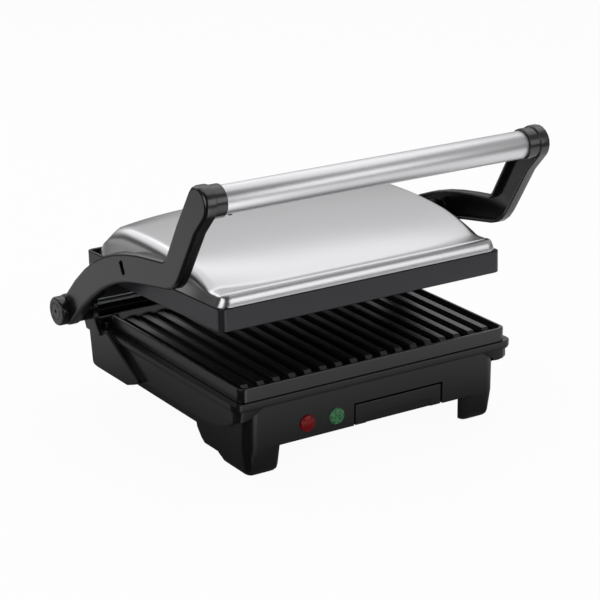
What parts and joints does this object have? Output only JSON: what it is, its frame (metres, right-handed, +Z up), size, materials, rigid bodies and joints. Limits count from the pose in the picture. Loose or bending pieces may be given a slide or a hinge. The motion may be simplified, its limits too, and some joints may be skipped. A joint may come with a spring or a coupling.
{
  "type": "panini maker",
  "caption": "Countertop contact grill with a floating, domed lid on swing arms, a tubular handle, ribbed plates, indicator lamps and a pull-out drip tray; the lid stands half open.",
  "frame": {"origin": "under the centre of the whole object, on the surface it stands on", "axes": "+X runs along the handle, hinge and lid's long side; -Y is the front, where the drip tray and lamps are; +Z is up"},
  "size_m": [0.3822, 0.2796, 0.2757],
  "materials": {
    "black_plastic": "black moulded plastic, satin gloss",
    "dark_plastic": "dark grey moulded plastic, matt",
    "non_stick": "cast aluminium with a black non-stick coating",
    "stainless": "satin stainless steel",
    "steel": "plain steel",
    "aluminium": "satin aluminium tube",
    "rubber": "black rubber",
    "red_lens": "clear red plastic",
    "green_lens": "clear green plastic",
    "bulb_glass": "small neon lamp glass",
    "ceramic": "unglazed ceramic and mineral-filled plastic"
  },
  "bodies": {
    "base": {"base_housing": "black_plastic", "bottom_cover": "dark_plastic", "bottom_screw_front_left": "steel", "bottom_screw_front_right": "steel", "bottom_screw_rear_left": "steel", "bottom_screw_rear_right": "steel", "foot_pad_front_left": "rubber", "foot_pad_front_right": "rubber", "foot_pad_rear_left": "rubber", "foot_pad_rear_right": "rubber", "red_lamp_lens": "red_lens", "green_lamp_lens": "green_lens", "red_lamp_bulb": "bulb_glass", "green_lamp_bulb": "bulb_glass", "cord_gland": "rubber", "terminal_block": "ceramic", "lower_plate": "non_stick", "lower_heater": "steel", "lower_reflector": "steel", "lower_thermostat": "ceramic", "thermal_fuse": "ceramic"},
    "tray": {"drip_tray": "black_plastic"},
    "arms": {"left_arm": "black_plastic", "right_arm": "black_plastic", "left_arm_cover": "dark_plastic", "right_arm_cover": "dark_plastic", "handle_tube": "aluminium", "handle_screw_left": "steel", "handle_screw_right": "steel", "hinge_shaft": "steel", "hinge_bar": "black_plastic", "hinge_cap_left": "black_plastic", "hinge_cap_right": "black_plastic"},
    "lid": {"lid_skirt": "black_plastic", "lid_cover": "stainless", "upper_plate": "non_stick", "upper_heater": "steel", "upper_reflector": "steel", "upper_thermostat": "ceramic", "lid_pivot_left": "steel", "lid_pivot_right": "steel"}
  },
  "joints": [
    {"name": "lid_hinge", "type": "hinge", "parent": "base", "child": "arms", "pos_m": [0, 0.1248, 0.0935], "axis": [-1, 0, 0], "range_deg": [-19.5, 75]},
    {"name": "lid_float", "type": "hinge", "parent": "arms", "child": "lid", "pos_m": [0, 0.0138, 0.164], "axis": [-1, 0, 0], "range_deg": [-65, 17]},
    {"name": "tray_slide", "type": "slide", "parent": "base", "child": "tray", "axis": [0, -1, 0], "range_m": [0, 0.085]}
  ],
  "couplings": [
    {"joint": "lid_float", "follows": "lid_hinge", "ratio": -0.86}
  ]
}
